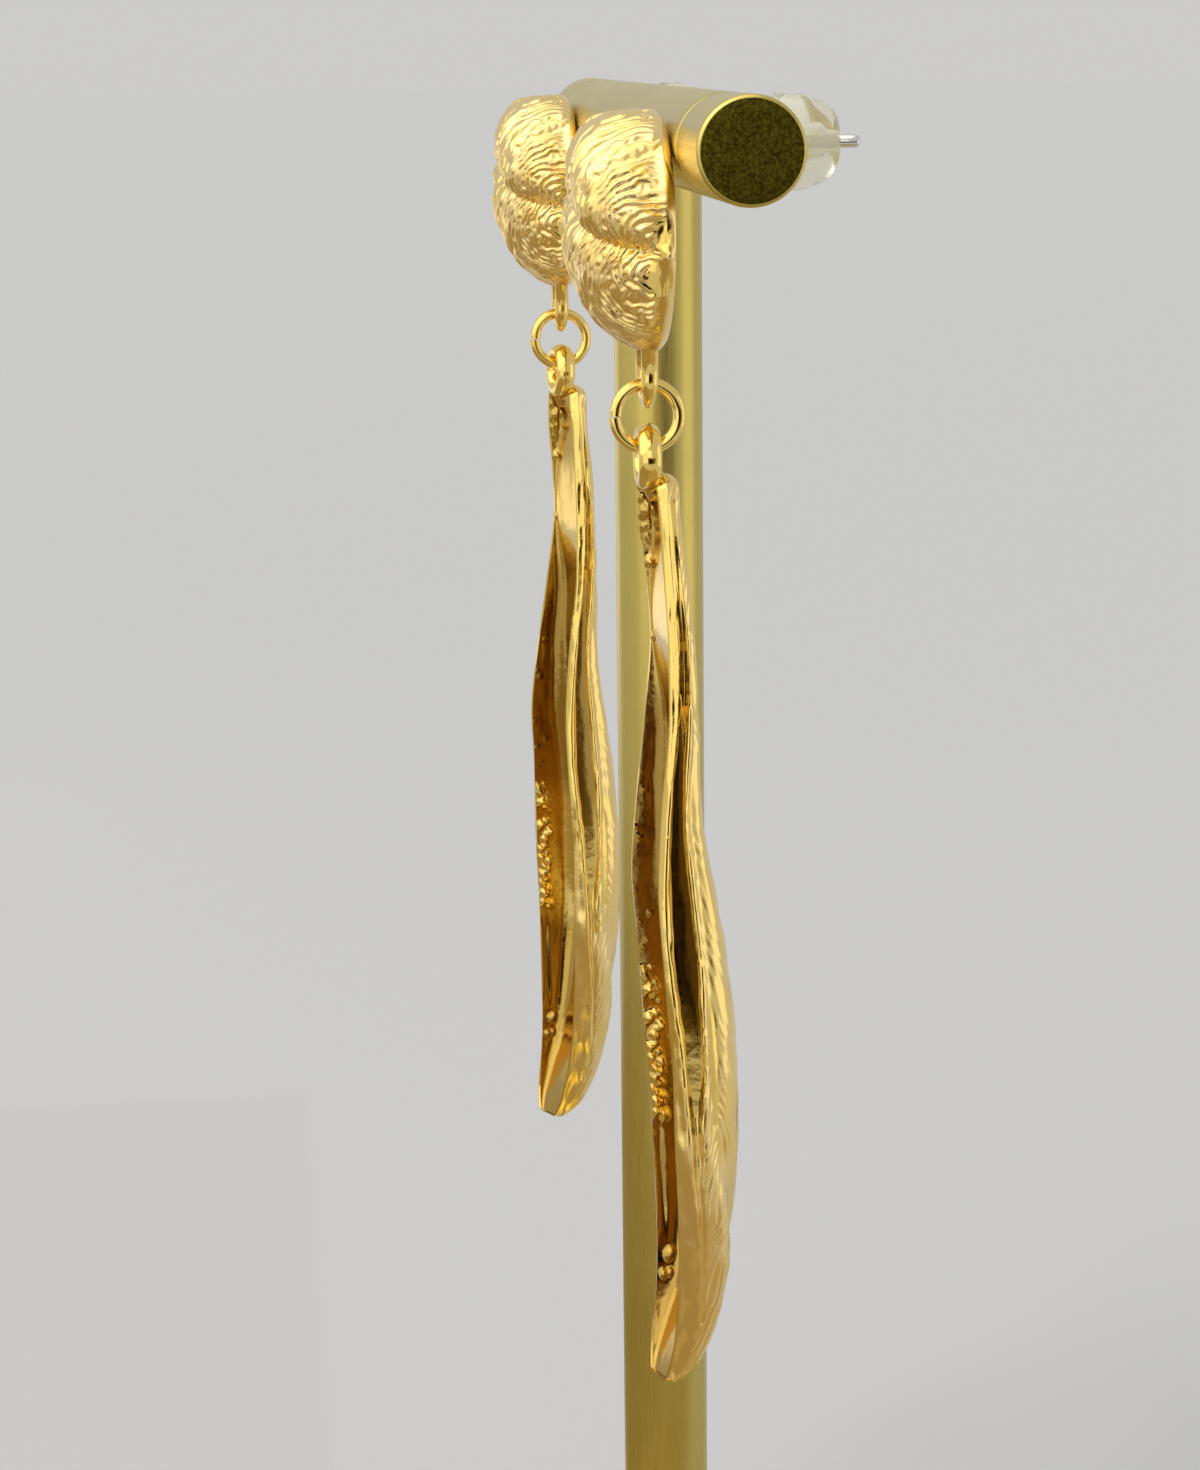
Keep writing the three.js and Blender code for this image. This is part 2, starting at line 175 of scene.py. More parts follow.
def make_mesh(name, points, faces, material=None, sharp=None, marks=None):
    """A smooth mesh from points in millimetres; marks are named numbers for each point."""
    mesh = bpy.data.meshes.new(name)
    mesh.from_pydata((np.asarray(points) * MM).tolist(), [], faces)
    if material is not None:
        mesh.materials.append(material)
    mesh.polygons.foreach_set("use_smooth", np.ones(len(mesh.polygons), dtype=bool))
    for key, values in (marks or {}).items():
        layer = mesh.attributes.new(key, "FLOAT", "POINT")
        layer.data.foreach_set("value", np.asarray(values, dtype=np.float32).ravel())
    if sharp is not None:
        mesh.set_sharp_from_angle(angle=math.radians(sharp))
    mesh.update()
    piece = bpy.data.objects.new(name, mesh)
    bpy.context.scene.collection.objects.link(piece)
    return piece


def finish_piece(piece, node, body):
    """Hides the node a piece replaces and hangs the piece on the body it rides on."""
    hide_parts(node)
    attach(piece, body)


def turned(profile, segments, axis, centre):
    """Points and faces of a round piece; the profile lists (radius, place along the axis)."""
    angle = np.arange(segments) / segments * TAU
    points, faces, loops = [], [], []
    for radius, along in profile:
        if radius < 1e-6:
            loops.append([len(points)])
            points.append((0, 0, along))
            continue
        loops.append(list(range(len(points), len(points) + segments)))
        points += [(radius * math.cos(a), radius * math.sin(a), along) for a in angle]
    for low, high in zip(loops, loops[1:]):
        for i in range(segments):
            j = (i + 1) % segments
            if len(low) == 1:
                faces.append([low[0], high[j], high[i]])
            elif len(high) == 1:
                faces.append([low[i], low[j], high[0]])
            else:
                faces.append([low[i], low[j], high[j], high[i]])
    points = np.array(points, float)
    order = {"x": [2, 0, 1], "y": [1, 2, 0], "z": [0, 1, 2]}[axis]
    return points[:, order] + np.array(centre, float), faces


def arc(centre, radius, start, end, steps):
    """Profile points on an arc; angles in degrees from the outward direction."""
    angles = np.radians(np.linspace(start, end, steps + 1))
    return [(centre[0] + radius * math.cos(a), centre[1] + radius * math.sin(a)) for a in angles]


def rod_profile(radius, start, end, first, last):
    """A rod with rounded edges of radius first and last."""
    profile = [(0, start), (radius * 0.5, start)]
    profile += arc((radius - first, start + first), first, -90, 0, 5)
    for step in np.linspace(0.02, 0.98, 9):
        profile.append((radius, start + first + step * (end - last - start - first)))
    profile += arc((radius - last, end - last), last, 0, 90, 5)
    return profile + [(radius * 0.5, end), (0, end)]


def boolean(piece, other, operation):
    """piece joined to, or cut by, other, which is then removed."""
    modifier = piece.modifiers.new("cut", "BOOLEAN")
    modifier.operation = operation
    modifier.object = other
    modifier.solver = "EXACT"
    modifier.material_mode = "TRANSFER"
    depsgraph = bpy.context.evaluated_depsgraph_get()
    mesh = bpy.data.meshes.new_from_object(piece.evaluated_get(depsgraph))
    piece.modifiers.clear()
    old = piece.data
    piece.data = mesh
    bpy.data.meshes.remove(old)
    bpy.data.objects.remove(other)


def fix_facing(piece):
    """Turns a closed mesh's faces outward."""
    work = bmesh.new()
    work.from_mesh(piece.data)
    bmesh.ops.recalc_face_normals(work, faces=work.faces)
    work.to_mesh(piece.data)
    work.free()


def merge_close(piece):
    """Joins the points of a mesh that fall on one another."""
    work = bmesh.new()
    work.from_mesh(piece.data)
    bmesh.ops.remove_doubles(work, verts=work.verts, dist=1e-6)
    work.to_mesh(piece.data)
    work.free()


# ---- Materials --------------------------------------------------------------------


class Nodes:
    """A material's node tree, with short calls for adding nodes."""

    def __init__(self, name):
        self.material = bpy.data.materials.new(name)
        self.material.use_nodes = True
        self.tree = self.material.node_tree
        self.shader = self.tree.nodes["Principled BSDF"]
        self.place = self.add("ShaderNodeTexCoord").outputs["Object"]

    def add(self, kind, **settings):
        node = self.tree.nodes.new(kind)
        for key, value in settings.items():
            setattr(node, key, value)
        return node

    def link(self, source, target):
        self.tree.links.new(source, target)

    def noise(self, size_mm, detail=3, stretch=(1, 1, 1), rough=0.55):
        mapping = self.add("ShaderNodeMapping")
        mapping.inputs["Scale"].default_value = [1 / (size_mm * MM * s) for s in stretch]
        self.link(self.place, mapping.inputs["Vector"])
        texture = self.add("ShaderNodeTexNoise")
        texture.inputs["Scale"].default_value = 1
        texture.inputs["Detail"].default_value = detail
        texture.inputs["Roughness"].default_value = rough
        self.link(mapping.outputs["Vector"], texture.inputs["Vector"])
        return texture.outputs["Fac"]

    def ranged(self, value, low, high, from_low=0.3, from_high=0.7):
        node = self.add("ShaderNodeMapRange")
        node.inputs["From Min"].default_value = from_low
        node.inputs["From Max"].default_value = from_high
        node.inputs["To Min"].default_value = low
        node.inputs["To Max"].default_value = high
        self.link(value, node.inputs["Value"])
        return node.outputs["Result"]

    def mixed(self, factor, first, second):
        node = self.add("ShaderNodeMix", data_type="RGBA")
        self.link(factor, node.inputs["Factor"])
        for colour, socket in ((first, node.inputs["A"]), (second, node.inputs["B"])):
            if isinstance(colour, tuple):
                socket.default_value = (*colour, 1)
            else:
                self.link(colour, socket)
        return node.outputs["Result"]

    def number_mix(self, factor, first, second):
        node = self.add("ShaderNodeMix", data_type="FLOAT")
        self.link(factor, node.inputs["Factor"])
        for value, socket in ((first, node.inputs["A"]), (second, node.inputs["B"])):
            if isinstance(value, (int, float)):
                socket.default_value = value
            else:
                self.link(value, socket)
        return node.outputs["Result"]

    def mark(self, name):
        return self.add("ShaderNodeAttribute", attribute_name=name).outputs["Fac"]

    def bump(self, height, depth_mm, strength=1.0, normal=None):
        node = self.add("ShaderNodeBump")
        node.inputs["Strength"].default_value = strength
        node.inputs["Distance"].default_value = depth_mm * MM
        self.link(height, node.inputs["Height"])
        if normal is not None:
            self.link(normal, node.inputs["Normal"])
        return node.outputs["Normal"]

    def set(self, **values):
        for key, value in values.items():
            socket = self.shader.inputs[key.replace("_", " ")]
            if hasattr(value, "is_linked"):
                self.link(value, socket)
            else:
                socket.default_value = value


SATIN = (0.93, 0.68, 0.22)
SATIN_PALE = (0.95, 0.72, 0.33)
# Painted shade: the darker colour given to the drop's hollow.
PAINTED_SHADE_GOLD = (0.52, 0.33, 0.075)
POLISHED = (0.97, 0.72, 0.22)
POLISHED_DEEP = (0.93, 0.66, 0.17)
STAND = (0.56, 0.445, 0.115)
STAND_PALE = (0.62, 0.495, 0.14)
# Painted shade: the bar's end face is coloured dark for the dark side it reflects.
END_FACE_PAINTED_SHADE = (0.035, 0.026, 0.002)
END_FACE_PAINTED_SHADE_PALE = (0.14, 0.11, 0.012)


def casting_gold(name):
    """Gold plating: satin by the mark "satin", else polished, and darkened by a mark of painted shade
    in the drop's hollow.
    """
    n = Nodes(name)
    satin = n.mark("satin")
    cloud = n.noise(2.5, detail=2)
    fine = n.noise(0.09, detail=4)
    pits = n.noise(0.5, detail=3)
    polished = n.mixed(n.ranged(cloud, 0, 1), POLISHED, POLISHED_DEEP)
    matte = n.mixed(n.ranged(cloud, 0, 1), SATIN, SATIN_PALE)
    bright = n.mixed(satin, polished, matte)
    # Painted shade: the hollow's mark mixes the colour towards a darker gold.
    n.set(Base_Color=n.mixed(n.mark("painted_shade"), bright, PAINTED_SHADE_GOLD), Metallic=1.0)
    smooth = n.ranged(pits, 0.06, 0.14)
    rough = n.ranged(fine, 0.2, 0.3)
    n.set(Roughness=n.number_mix(satin, smooth, rough))
    waves = n.bump(n.noise(1.1, detail=2), 0.05, 0.55)
    grain = n.bump(fine, 0.006, 0.6, waves)
    n.set(Normal=grain)
    return n.material


def ring_gold():
    n = Nodes("ring_gold")
    cloud = n.noise(1.2, detail=2)
    n.set(Base_Color=n.mixed(n.ranged(cloud, 0, 1), POLISHED, POLISHED_DEEP), Metallic=1.0)
    n.set(Roughness=n.ranged(n.noise(0.3), 0.07, 0.13))
    n.set(Normal=n.bump(n.noise(0.25), 0.004, 0.35))
    return n.material


def stand_gold(name, stretch):
    """Satin plating with a faint grain along the stretched axis."""
    n = Nodes(name)
    cloud = n.noise(9, detail=3)
    grain = n.noise(0.12, detail=3, stretch=stretch)
    n.set(Base_Color=n.mixed(n.ranged(cloud, 0, 1), STAND, STAND_PALE), Metallic=1.0)
    n.set(Roughness=n.ranged(grain, 0.25, 0.34))
    n.set(Normal=n.bump(grain, 0.006, 0.5))
    return n.material


def end_face_painted_shade_gold():
    """The bar's sawn and blasted end, coarser than its side, and darker by painted shade: the dark side
    it reflects is put into its colour.
    """
    n = Nodes("end_face_painted_shade_gold")
    specks = n.noise(0.22, detail=5, rough=0.7)
    n.set(Base_Color=n.mixed(n.ranged(specks, 0, 1, 0.4, 0.66), END_FACE_PAINTED_SHADE, END_FACE_PAINTED_SHADE_PALE))
    n.set(Metallic=1.0, Roughness=n.ranged(specks, 0.5, 0.36))
    n.set(Normal=n.bump(specks, 0.03, 0.8))
    return n.material


def post_silver():
    n = Nodes("post_silver")
    grain = n.noise(0.08, detail=2, stretch=(1, 8, 1))
    n.set(Base_Color=(0.72, 0.71, 0.69, 1), Metallic=1.0, Roughness=n.ranged(grain, 0.1, 0.2))
    n.set(Normal=n.bump(grain, 0.003, 0.4))
    return n.material


def clear_silicone():
    n = Nodes("clear_silicone")
    cloud = n.noise(1.3, detail=3)
    n.set(Base_Color=(1.0, 0.97, 0.8, 1), Roughness=n.ranged(cloud, 0.03, 0.15), IOR=1.41)
    n.set(Transmission_Weight=0.78, Normal=n.bump(cloud, 0.04, 0.4))
    return n.material


def floor_paint():
    n = Nodes("floor_paint")
    n.set(Base_Color=(0.512, 0.513, 0.519, 1), Roughness=0.85)
    return n.material


# ---- Stand ------------------------------------------------------------------------

JOINT_ROUND = 0.36
END_ROUND = 0.32
END_FACE_DEPTH = 0.02
FIT_GAP = 0.15
FOOT_EDGE = 0.6
SOCKET_DEPTH = 3.0
SOCKET_CHAMFER = 0.15
POLE_FOOT = 0.02
POST_HOLE_RADIUS = 0.65
POST_HOLE_REACH = 9


def make_base(material):
    low, high = box_mm("stand_base")
    pole_low, pole_high = box_mm("stand_pole")
    radius = (high[0] - low[0]) / 2
    socket = (pole_high[0] - pole_low[0]) / 2 + FIT_GAP
    thick, edge = high[2], FOOT_EDGE
    profile = [(0, 0), (radius * 0.6, 0), (radius - edge - 0.4, 0)]
    profile += arc((radius - edge, edge), edge, -90, 0, 6)
    profile += arc((radius - edge, thick - edge), edge, 0, 90, 6)
    profile += [(radius - edge - 0.4, thick), (radius * 0.6, thick), (socket + edge, thick)]
    profile += [(socket + SOCKET_CHAMFER, thick), (socket, thick - SOCKET_CHAMFER)]
    profile += [(socket, thick - SOCKET_DEPTH), (0, thick - SOCKET_DEPTH)]
    points, faces = turned(profile, 160, "z", (0, 0, 0))
    piece = make_mesh("base_foot", points, faces, material, sharp=50)
    finish_piece(piece, "stand_base", "stand")


def make_pole(material):
    """The upright, with its top hollowed to sit round the underside of the bar."""
    low, high = box_mm("stand_pole")
    radius = (high[0] - low[0]) / 2
    segments, rings, inner = 128, 14, 12
    angle = np.arange(segments) / segments * TAU
    saddle = BAR_RADIUS + FIT_GAP

    def saddle_height(share):
        return BAR_AXIS - np.sqrt(saddle ** 2 - (share * radius * np.sin(angle)) ** 2)

    top = saddle_height(1)
    points = [(0, 0, low[2])]
    for level in np.linspace(0, 1, rings):
        z = low[2] + POLE_FOOT + level * (top - low[2] - POLE_FOOT)
        points += np.stack([radius * np.cos(angle), radius * np.sin(angle), z], axis=-1).tolist()
    for k in range(1, inner):
        share = 1 - k / inner
        x, y = share * radius * np.cos(angle), share * radius * np.sin(angle)
        points += np.stack([x, y, saddle_height(share)], axis=-1).tolist()
    points.append((0, 0, BAR_AXIS - saddle))
    faces = [[0, (i + 1) % segments + 1, i + 1] for i in range(segments)]
    faces += grid_faces(rings + inner - 1, segments, wrap=True, first=1)
    last = 1 + (rings + inner - 2) * segments
    faces += fan(list(range(last, last + segments)), len(points) - 1)
    piece = make_mesh("pole_upright", points, faces, material, sharp=35)
    finish_piece(piece, "stand_pole", "stand")


def make_bar(material):
    profile = rod_profile(BAR_RADIUS, BAR_LOW[0], BAR_HIGH[0], JOINT_ROUND, JOINT_ROUND)
    points, faces = turned(profile, 160, "x", (0, 0, BAR_AXIS))
    bar = make_mesh("bar_tube", points, faces, material)
    for side in SIDES:
        low, high = box_mm(f"{side}_ear_post")
        x = (low[0] + high[0]) / 2
        radius, reach = POST_HOLE_RADIUS, POST_HOLE_REACH
        hole = [(0, -reach), (radius, -reach), (radius, reach), (0, reach)]
        points, faces = turned(hole, 40, "y", (x, 0, BAR_AXIS))
        boolean(bar, make_mesh("hole", points, faces, material), "DIFFERENCE")
    bar.data.set_sharp_from_angle(angle=math.radians(35))
    finish_piece(bar, "stand_bar", "stand")


def make_caps(material, end_painted_shade_material):
    for side, sign in (("right", 1), ("left", -1)):
        low, high = box_mm(f"stand_cap_{side}")
        inner, outer = sorted((abs(low[0]), abs(high[0])))
        profile = rod_profile(BAR_RADIUS, inner, outer, JOINT_ROUND, END_ROUND)
        points, faces = turned(profile, 160, "x", (0, 0, BAR_AXIS))
        if sign < 0:
            points[:, :2] *= -1
        cap = make_mesh(f"bar_cap_{side}", points, faces, material, sharp=50)
        finish_piece(cap, f"stand_cap_{side}", "stand")
        cap.data.materials.append(end_painted_shade_material)
        for face in cap.data.polygons:
            on_end = abs(face.center.x) / MM > outer - END_FACE_DEPTH
            face.material_index = 1 if on_end else 0


# ---- Stud ------------------------------------------------------------------------

STUD_BACK = box_mm("right_stud")[1][1]
STUD_HALF_WIDTH = 8.2
STUD_HALF_HEIGHT = 7.65
STUD_CENTRE = BAR_AXIS - 5.45
STUD_DEPTH = 6.2
STUD_EDGE = 0.5
STUD_GRID = 292
RIDGE_PITCH = 0.56
RIDGE_HEIGHT = 0.28
BARK_PITCH = 0.33
GROOVE_DEPTH = 1.35
GROOVE_UP = 1.45
GROOVE_FALL = 3.1
GROOVE_RUN = 7
DOME_POWER = 1.95
DOME_POWER_RISE = 1.65
LOOP_WIRE = 0.55
LOOP_RADIUS = 1.5
LOOP_CENTRE = BAR_AXIS - 14.6
LOOP_ROOT = 2.4
UPPER_HUB = np.array([8.2, -1.0, -0.3])
LOWER_HUB = np.array([7.5, -1.7, -2.4])
# Smooth places beside the stud's near rim: the centre and the size, each (up, depth).
UPPER_BOWL = ((0.2, 0.85), (1.25, 0.75))
LOWER_BOWL = ((-2.5, 1.15), (1.25, 1.05))
BOWL_LIP = ((-1.0, 1.0), (0.45, 1.1))
RIM_GROOVE = ((-5.2, 0.95), (2.6, 0.3))


def stud_groove(across):
    """How far the groove between the stud's two lobes lies above the centre."""
    return GROOVE_UP - GROOVE_FALL * np.tanh(across / GROOVE_RUN)


def even_profile(count=400, powers=24):
    """Tables of spread and depth over even steps along superellipses of several powers."""
    bend = np.linspace(0, math.pi / 2, 4000)
    power = np.linspace(1.8, 3.8, powers)
    even = np.linspace(0, 1, count)
    spreads, depths = [], []
    for p in power:
        spread = np.sin(bend) ** (2 / p)
        depth = np.maximum(np.cos(bend), 0) ** (2 / p)
        step = np.hypot(np.diff(spread) * STUD_HALF_WIDTH, np.diff(depth) * STUD_DEPTH)
        length = np.concatenate([[0], np.cumsum(step)])
        spreads.append(np.interp(even, length / length[-1], spread))
        depths.append(np.interp(even, length / length[-1], depth))
    return power, np.array(spreads), np.array(depths)


def square_to_disc(count):
    """A grid over a disc: radius and direction for each point of a square grid."""
    line = np.linspace(-1, 1, count)
    a, b = np.meshgrid(line, line, indexing="ij")
    wide = np.abs(a) > np.abs(b)
    safe_a = np.where(a == 0, 1e-12, a)
    safe_b = np.where(b == 0, 1e-12, b)
    radius = np.where(wide, a, b)
    turn = np.where(wide, math.pi / 4 * b / safe_a, math.pi / 2 - math.pi / 4 * a / safe_b)
    turn = np.where(radius < 0, turn + math.pi, turn)
    return np.abs(radius), turn


def stud_dome(count):
    """The smooth dome: across, depth (towards the front) and up for each grid point."""
    out, turn = square_to_disc(count)
    power = DOME_POWER + DOME_POWER_RISE * smoothstep(np.sin(turn), -0.6, 0.8)
    powers, spreads, depths = even_profile()
    row = (power - powers[0]) / (powers[-1] - powers[0]) * (len(powers) - 1)
    low = np.clip(np.floor(row).astype(int), 0, len(powers) - 2)
    share = row - low
    column = out * (spreads.shape[1] - 1)
    left = np.clip(np.floor(column).astype(int), 0, spreads.shape[1] - 2)
    part = column - left

    def read(table):
        first = table[low, left] * (1 - part) + table[low, left + 1] * part
        second = table[low + 1, left] * (1 - part) + table[low + 1, left + 1] * part
        return first * (1 - share) + second * share

    spread, depth = read(spreads), read(depths) * STUD_DEPTH
    rounding = STUD_EDGE * np.maximum(0, 1 - depth / 0.7) ** 2
    across = (STUD_HALF_WIDTH * spread - rounding) * np.cos(turn)
    up = (STUD_HALF_HEIGHT * spread - rounding) * np.sin(turn)
    return np.stack([across, -depth, up], axis=-1)


def ridges(points, hub, seed):
    """Wandering ridges round a hub, from 0 to 1, broken up like bark further away."""
    wander = 0.55 * noise(points, 2.3, seed) + 0.3 * noise(points, 0.9, seed + 1)
    wander = wander + 0.13 * noise(points, 0.42, seed + 2)
    offset = points - hub
    distance = np.linalg.norm(offset, axis=-1)
    turn = np.arctan2(offset[..., 2], -offset[..., 0])
    wave = (0.5 + 0.5 * np.sin(TAU * (distance + wander) / RIDGE_PITCH)) ** 0.8
    strands = np.stack([(distance + wander) / BARK_PITCH, turn * 4.5, 0 * turn], axis=-1)
    bark = 0.5 + 0.6 * noise(strands, 1.0, seed + 4)
    broken = smoothstep(distance + 1.5 * noise(points, 2.0, seed + 5), 3.0, 6.5)
    strength = 0.72 + 0.28 * noise(points, 1.1, seed + 3)
    return (wave * (1 - 0.62 * broken) + bark * 0.8 * broken) * strength


def bowl(up, depth, centre, size):
    """A soft round hollow beside the stud's rim, from 0 to 1."""
    far = ((up - centre[0]) / size[0]) ** 2 + ((depth - centre[1]) / size[1]) ** 2
    return np.exp(-far ** 1.5)


def stud_surface(count, seed):
    """The dome with its groove, bowls and ridges, and its satin marks."""
    base = stud_dome(count)
    across, depth, up = base[..., 0], -base[..., 1], base[..., 2]
    normal = -grid_normals(base)
    outward = np.where((normal * (base - [0, 3, 0])).sum(-1, keepdims=True) < 0, -normal, normal)

    offset = up - stud_groove(across)
    crease = np.exp(-np.sqrt(offset ** 2 + 0.04) / 0.95)
    valley = GROOVE_DEPTH * crease * smoothstep(depth, 0.3, 2.2)
    near = smoothstep(across, 4.0, 6.5)
    upper_bowl = bowl(up, depth, *UPPER_BOWL) * near
    lower_bowl = bowl(up, depth, *LOWER_BOWL) * near
    lip = bowl(up, depth, *BOWL_LIP) * near
    groove_line = bowl(up, depth, *RIM_GROOVE) * near
    polished = np.clip(1.3 * (upper_bowl + lower_bowl) + groove_line, 0, 1)

    texture = np.where(offset > 0, ridges(base, UPPER_HUB, seed), ridges(base, LOWER_HUB, seed + 10))
    plain_rim = smoothstep(depth, 0.5, 1.15)
    height = RIDGE_HEIGHT * (texture - 0.5) * (1 - polished) * plain_rim
    lumps = 0.12 * noise(base, 2.8, seed + 20) + 0.07 * noise(base, 1.1, seed + 21)
    height = height + lumps * plain_rim * (1 - polished) - valley
    height = height - 0.42 * upper_bowl - 0.34 * lower_bowl + 0.12 * lip - 0.16 * groove_line
    height = height * smoothstep(depth, 0.02, 0.3)
    moved = base + outward * height[..., None]
    moved[..., 1] = np.where(depth < 0.02, base[..., 1], np.minimum(moved[..., 1], -0.01))
    return moved, (1 - smoothstep(polished, 0.35, 0.65)).ravel()


def loop_wire(radius, root, wire, sides=24, steps=36):
    """A U of wire, open at the top, with closed ends, thinner round its foot."""
    path = [(-radius, root)]
    path += [(radius * math.cos(a), radius * math.sin(a)) for a in np.linspace(-math.pi, 0, steps)]
    path.append((radius, root))
    path = np.array(path)
    along = np.gradient(path, axis=0)
    along /= np.linalg.norm(along, axis=1, keepdims=True)
    side = np.stack([-along[:, 1], along[:, 0]], axis=-1)
    angle = np.arange(sides) / sides * TAU
    points = []
    for centre, across in zip(path, side):
        worn = 1 - 0.3 * max(0, -centre[1] / radius) ** 2
        x = centre[0] + wire * np.cos(angle) * across[0]
        z = centre[1] + wire * np.cos(angle) * across[1]
        points += np.stack([x, wire * worn * np.sin(angle), z], axis=-1).tolist()
    faces = [face[::-1] for face in grid_faces(len(path), sides, wrap=True)]
    last = (len(path) - 1) * sides
    faces.append(list(range(sides)))
    faces.append(list(range(last, last + sides))[::-1])
    return np.array(points), faces


def make_stud(side, material, wire_material, seed):
    low, high = box_mm(f"{side}_ear_post")
    x = (low[0] + high[0]) / 2
    surface, satin = stud_surface(STUD_GRID, seed)
    count = STUD_GRID
    edge = [i * count for i in range(count - 1)]
    edge += [(count - 1) * count + j for j in range(count - 1)]
    edge += [i * count + count - 1 for i in range(count - 1, 0, -1)]
    edge += list(range(count - 1, 0, -1))
    points = surface.reshape(-1, 3)
    rim = points[edge]
    faces = grid_faces(count, count)
    loop = edge
    extra = []
    for share in (0.985, 0.9, 0.5):
        start = len(points) + len(extra)
        extra += (rim * [share, 1, share]).tolist()
        ring = list(range(start, start + len(edge)))
        faces += [[loop[i], loop[(i + 1) % len(edge)], ring[(i + 1) % len(edge)], ring[i]]
                  for i in range(len(edge))]
        loop = ring
    extra.append((0, 0, 0))
    faces += fan(loop, len(points) + len(extra) - 1)
    points = np.concatenate([points, np.array(extra)])
    marks = np.concatenate([satin, np.zeros(len(extra))])
    stud = make_mesh(f"{side}_stud_dome", points + [x, STUD_BACK, STUD_CENTRE], faces,
                     material, marks={"satin": marks, "painted_shade": 0 * marks})
    fix_facing(stud)
    stud.data.set_sharp_from_angle(angle=math.radians(70))
    points, faces = loop_wire(LOOP_RADIUS, LOOP_ROOT, LOOP_WIRE)
    hang = box_mm(f"{side}_jump_ring")
    y = (hang[0][1] + hang[1][1]) / 2
    loop = make_mesh("loop", points + [x, y, LOOP_CENTRE], faces, wire_material)
    fix_facing(loop)
    boolean(stud, loop, "UNION")
    finish_piece(stud, f"{side}_stud", "stand")


# ---- Post, clutch and jump ring -----------------------------------------------------


def make_post(side, material):
    low, high = box_mm(f"{side}_ear_post")
    centre = ((low[0] + high[0]) / 2, 0, (low[2] + high[2]) / 2)
    radius = (high[0] - low[0]) / 2
    profile = [(0, low[1]), (radius, low[1]), (radius, low[1] + 0.2)]
    profile += [(radius, high[1] - 2.2), (radius - 0.05, high[1] - 2.1), (radius - 0.05, high[1] - 1.9)]
    profile += [(radius, high[1] - 1.8)]
    profile += arc((radius - 0.36, high[1] - 0.36), 0.36, 0, 90, 8) + [(0, high[1])]
    points, faces = turned(profile, 48, "y", centre)
    piece = make_mesh(f"{side}_post_pin", points, faces, material, sharp=50)
    fix_facing(piece)
    finish_piece(piece, f"{side}_ear_post", "stand")


def make_clutch(side, material):
    low, high = box_mm(f"{side}_clutch")
    centre = ((low[0] + high[0]) / 2, 0, (low[2] + high[2]) / 2)
    radius = (high[0] - low[0]) / 2
    front, back = low[1], high[1]
    bore = 0.5
    profile = [(bore, front + 0.1), (bore + 0.1, front), (radius - 1.1, front)]
    profile += arc((radius - 1.1, front + 1.5), 1.5, -90, -40, 5)
    profile += arc((radius - 1.6, front + 1.95), 1.6, -14, 26, 6)
    profile += arc((radius - 2.1, back - 1.85), 1.85, 35, 84, 7)
    profile += [(bore + 0.25, back), (bore, back - 0.2)]
    profile += [(bore, front + 3.4), (bore + 0.35, front + 3.0), (bore + 0.35, front + 1.4)]
    profile += [(bore, front + 1.0), (bore, front + 0.1)]
    points, faces = turned(profile, 72, "y", centre)
    piece = make_mesh(f"{side}_clutch_disc", points, faces, material, sharp=60)
    merge_close(piece)
    fix_facing(piece)
    finish_piece(piece, f"{side}_clutch", "stand")


RING_SPLIT = 0.022
RING_STEP = 0.07


def make_ring(side, material):
    """Round wire bent to a ring, with its two cut ends slightly out of line."""
    low, high = box_mm(f"{side}_jump_ring")
    wire = (high[0] - low[0]) / 2
    radius = (high[2] - low[2]) / 2 - wire
    centre = (low + high) / 2
    steps, sides = 140, 28
    t = np.linspace(0, 1, steps)
    turn = math.pi + RING_SPLIT + (TAU - 2 * RING_SPLIT) * t
    bend = radius - RING_STEP * (smoothstep(t, 0.88, 1.0) - smoothstep(1 - t, 0.97, 1.0) * 0.3)
    angle = np.arange(sides) / sides * TAU
    out = bend[:, None] + wire * np.cos(angle)[None, :]
    y = out * np.cos(turn)[:, None]
    z = out * np.sin(turn)[:, None]
    x = np.broadcast_to(wire * np.sin(angle), y.shape)
    points = np.stack([x, y, z], axis=-1).reshape(-1, 3) + centre
    faces = grid_faces(steps, sides, wrap=True)
    last = (steps - 1) * sides
    faces += [list(range(sides)), list(range(last, last + sides))[::-1]]
    piece = make_mesh(f"{side}_ring_wire", points, faces, material)
    fix_facing(piece)
    piece.data.set_sharp_from_angle(angle=math.radians(40))
    finish_piece(piece, f"{side}_jump_ring", f"{side}_ring")


# ---- Drop ---------------------------------------------------------------------------

